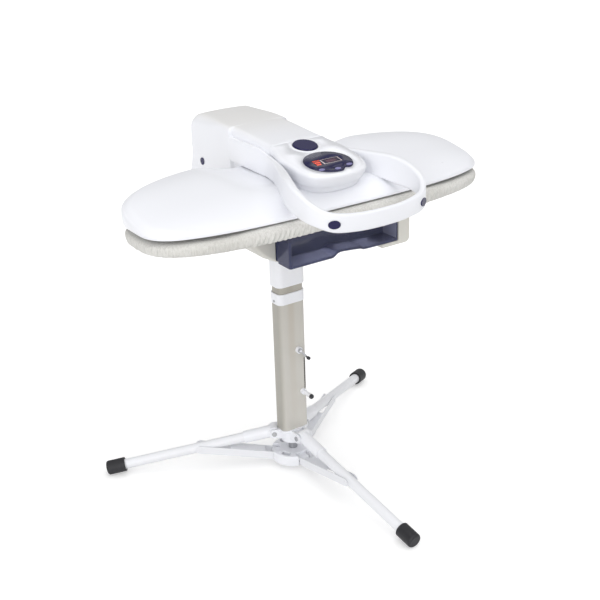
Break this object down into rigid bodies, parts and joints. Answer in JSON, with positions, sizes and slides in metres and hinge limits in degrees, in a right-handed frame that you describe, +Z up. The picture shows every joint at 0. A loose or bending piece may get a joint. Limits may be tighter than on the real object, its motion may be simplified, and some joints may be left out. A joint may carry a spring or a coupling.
{
  "type": "steam ironing press",
  "caption": "Steam ironing press with an oval padded board, a lifting heated head with a looped handle, a drawer water tank and a height-adjustable folding tripod stand.",
  "frame": {"origin": "on the floor, under the centre of the pillar", "axes": "+Z up, -Y to the front where the handle is, +X to the object's right seen from the front"},
  "size_m": [0.926, 0.8115, 0.9256],
  "materials": {
    "aluminium": "machined, with a slip coat",
    "black_plastic": "satin black moulding",
    "board_green": "circuit board",
    "dark_rubber": "moulded black rubber",
    "display_dark": "dark blue display cover",
    "display_glow": "lit red orange display",
    "foam": "open cell foam",
    "lavender_plastic": "pale lavender keys",
    "navy_tank": "tinted clear navy plastic",
    "pad_fabric": "woven heat resistant cotton",
    "pillar_finish": "warm silver grey paint",
    "steel": "plain steel",
    "violet_plastic": "deep violet blue moulding",
    "warm_plastic": "warm light grey moulding",
    "white_paint": "smooth white powder coat",
    "white_plastic": "soft gloss white moulding"
  },
  "bodies": {
    "stand": {"pillar": "pillar_finish", "upper_hub": "white_plastic", "hub_pins": "steel", "pillar_collar": "white_plastic", "collar_screw": "steel", "pillar_bosses": "white_plastic"},
    "press_base": {"inner_column": "pillar_finish", "height_rack": "black_plastic", "column_head": "white_plastic", "base_shell": "warm_plastic", "base_plate": "steel", "hinge_bracket": "steel", "hinge_pin": "steel", "lift_springs": "steel", "pump": "black_plastic", "power_inlet": "black_plastic", "board_tray": "aluminium", "foam_pad": "foam", "pad_cover": "pad_fabric"},
    "water_tank": {"tank_body": "navy_tank", "tank_lid": "navy_tank", "tank_cap": "violet_plastic"},
    "head": {"head_cover": "white_plastic", "arm_cover": "white_plastic", "arm_frame": "steel", "hinge_caps": "violet_plastic", "control_pod": "white_plastic", "display_lens": "display_dark", "lcd_panel": "display_glow", "control_board": "board_green", "heated_plate": "aluminium", "heating_element": "steel", "steam_chamber": "aluminium", "handle_loop": "white_plastic", "handle_plugs": "violet_plastic", "handle_screws": "steel"},
    "steam_button": {"steam_button": "violet_plastic"},
    "left_button": {"left_button": "lavender_plastic"},
    "middle_button": {"middle_button": "lavender_plastic"},
    "right_button": {"right_button": "lavender_plastic"},
    "height_lever": {"height_lever": "steel", "lever_tip": "black_plastic"},
    "clamp_knob": {"clamp_stem": "white_plastic", "clamp_tip": "black_plastic"},
    "lower_hub": {"lower_hub": "white_plastic", "lower_pins": "steel", "hub_post": "steel"},
    "front_leg": {"front_leg": "white_paint", "front_leg_sleeve": "white_plastic", "front_foot_cap": "dark_rubber"},
    "front_strut": {"front_strut": "white_paint"},
    "left_leg": {"left_leg": "white_paint", "left_leg_sleeve": "white_plastic", "left_foot_cap": "dark_rubber"},
    "left_strut": {"left_strut": "white_paint"},
    "right_leg": {"right_leg": "white_paint", "right_leg_sleeve": "white_plastic", "right_foot_cap": "dark_rubber"},
    "right_strut": {"right_strut": "white_paint"}
  },
  "joints": [
    {"name": "head_lift", "type": "hinge", "parent": "press_base", "child": "head", "pos_m": [0, 0.245, 0.802], "axis": [-1, 0, 0], "range_deg": [0, 40]},
    {"name": "tank_slide", "type": "slide", "parent": "press_base", "child": "water_tank", "axis": [0, -1, 0], "range_m": [0, 0.15]},
    {"name": "height_slide", "type": "slide", "parent": "stand", "child": "press_base", "axis": [0, 0, 1], "range_m": [0, 0.16]},
    {"name": "steam_button_push", "type": "slide", "parent": "head", "child": "steam_button", "axis": [0, 0.1822, -0.9833], "range_m": [0, 0.004], "stiffness_N_per_m": 400, "springref_m": -0.002},
    {"name": "height_lever_turn", "type": "hinge", "parent": "stand", "child": "height_lever", "pos_m": [0.012, -0.0235, 0.34], "axis": [0, -1, 0], "range_deg": [0, 40]},
    {"name": "clamp_knob_pull", "type": "slide", "parent": "stand", "child": "clamp_knob", "axis": [0, -1, 0], "range_m": [0, 0.006]},
    {"name": "left_button_push", "type": "slide", "parent": "head", "child": "left_button", "axis": [0, 0.1822, -0.9833], "range_m": [0, 0.001], "stiffness_N_per_m": 300, "springref_m": -0.001},
    {"name": "middle_button_push", "type": "slide", "parent": "head", "child": "middle_button", "axis": [0, 0.1822, -0.9833], "range_m": [0, 0.001], "stiffness_N_per_m": 300, "springref_m": -0.001},
    {"name": "right_button_push", "type": "slide", "parent": "head", "child": "right_button", "axis": [0, 0.1822, -0.9833], "range_m": [0, 0.001], "stiffness_N_per_m": 300, "springref_m": -0.001},
    {"name": "front_leg_fold", "type": "hinge", "parent": "stand", "child": "front_leg", "pos_m": [0.00148, -0.04998, 0.096], "axis": [0.9996, 0.0297, 0], "range_deg": [0, 76]},
    {"name": "front_strut_fold", "type": "hinge", "parent": "front_leg", "child": "front_strut", "pos_m": [0.00742, -0.24995, 0.06158], "axis": [0.9996, 0.0297, 0], "range_deg": [-152, 0]},
    {"name": "left_leg_fold", "type": "hinge", "parent": "stand", "child": "left_leg", "pos_m": [-0.04402, 0.0237, 0.096], "axis": [-0.4741, -0.8805, 0], "range_deg": [0, 76]},
    {"name": "left_strut_fold", "type": "hinge", "parent": "left_leg", "child": "left_strut", "pos_m": [-0.22017, 0.11855, 0.06158], "axis": [-0.4741, -0.8805, 0], "range_deg": [-152, 0]},
    {"name": "right_leg_fold", "type": "hinge", "parent": "stand", "child": "right_leg", "pos_m": [0.04254, 0.02627, 0.096], "axis": [-0.5255, 0.8508, 0], "range_deg": [0, 76]},
    {"name": "right_strut_fold", "type": "hinge", "parent": "right_leg", "child": "right_strut", "pos_m": [0.21275, 0.1314, 0.06158], "axis": [-0.5255, 0.8508, 0], "range_deg": [-152, 0]},
    {"name": "lower_hub_turn", "type": "hinge", "parent": "front_strut", "child": "lower_hub", "pos_m": [0.00148, -0.04998, 0.02715], "axis": [0.9996, 0.0297, 0], "range_deg": [0, 76]}
  ],
  "couplings": [
    {"joint": "front_strut_fold", "follows": "front_leg_fold", "ratio": -2},
    {"joint": "left_leg_fold", "follows": "front_leg_fold", "ratio": 1},
    {"joint": "left_strut_fold", "follows": "front_leg_fold", "ratio": -2},
    {"joint": "right_leg_fold", "follows": "front_leg_fold", "ratio": 1},
    {"joint": "right_strut_fold", "follows": "front_leg_fold", "ratio": -2},
    {"joint": "lower_hub_turn", "follows": "front_leg_fold", "ratio": 1}
  ]
}
